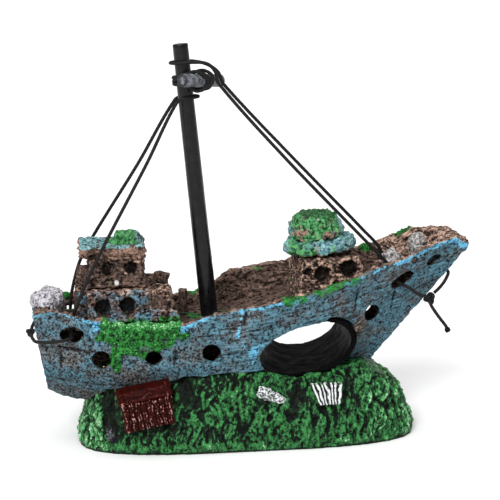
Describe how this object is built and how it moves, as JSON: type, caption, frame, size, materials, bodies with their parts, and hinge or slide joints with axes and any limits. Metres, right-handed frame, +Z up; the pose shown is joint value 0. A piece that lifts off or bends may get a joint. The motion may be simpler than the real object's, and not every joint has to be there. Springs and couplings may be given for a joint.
{
  "type": "aquarium bubbling shipwreck ornament",
  "caption": "Sunken sailing ship on a mossy rock with a swim-through tunnel, a lift-out mast and yard, cord stays and an air stone in the base.",
  "frame": {"origin": "centre of the rock base's underside, where the ornament stands on the gravel or the glass", "axes": "+X to the bow along the ship's length, +Y to the far side where the air inlet is, +Z up"},
  "size_m": [0.1298, 0.0484, 0.1141],
  "materials": {
    "mossy_rock": "satin",
    "tunnel_black": "matte",
    "hull_paint": "matte",
    "weathered_timber": "matte",
    "teal_roof": "matte",
    "moss": "satin",
    "grey_rock": "matte",
    "silvered_rock": "satin",
    "chest_red": "satin",
    "shell_white": "satin",
    "air_stone_grey": "matte",
    "white_plastic": "satin",
    "black_rubber": "matte",
    "clear_hose": "gloss",
    "mast_black": "satin",
    "yard_grey": "satin",
    "black_cord": "matte"
  },
  "bodies": {
    "ornament": {"rock_base": "mossy_rock", "swim_tunnel": "tunnel_black", "hull_shell": "hull_paint", "deck": "weathered_timber", "stern_cabin_lower": "weathered_timber", "stern_cabin_upper": "weathered_timber", "stern_cabin_roof": "teal_roof", "bow_cabin": "weathered_timber", "bow_turret_skirt": "teal_roof", "bow_turret_cap": "moss", "quarter_post": "weathered_timber", "waist_post_tall": "weathered_timber", "waist_post_short": "weathered_timber", "taffrail_rock": "grey_rock", "foredeck_rock_aft": "silvered_rock", "foredeck_rock_fore": "silvered_rock", "chest_body": "chest_red", "chest_lid": "chest_red", "scallop_shell": "shell_white", "turret_shell": "shell_white", "aft_stay": "black_cord", "aft_knot": "black_cord", "fore_stay": "black_cord", "fore_knot": "black_cord", "cord_tail": "black_cord", "tail_knot": "black_cord", "air_stone": "air_stone_grey", "stone_nipple": "white_plastic", "air_hose": "clear_hose", "air_inlet_elbow": "white_plastic", "inlet_grommet": "black_rubber"},
    "mast": {"mast": "mast_black"},
    "yard": {"yard": "yard_grey", "masthead_lashing": "black_cord"}
  },
  "joints": [
    {"name": "mast_lift", "type": "slide", "parent": "ornament", "child": "mast", "axis": [-0.0994, 0, 0.995], "range_m": [0, 0.01], "deforming": ["aft_stay", "fore_stay"]},
    {"name": "yard_swivel", "type": "hinge", "parent": "mast", "child": "yard", "pos_m": [-0.01747, 0, 0.1036], "axis": [-0.0994, 0, 0.995], "range_deg": [-4, 10], "deforming": ["fore_stay"]}
  ]
}
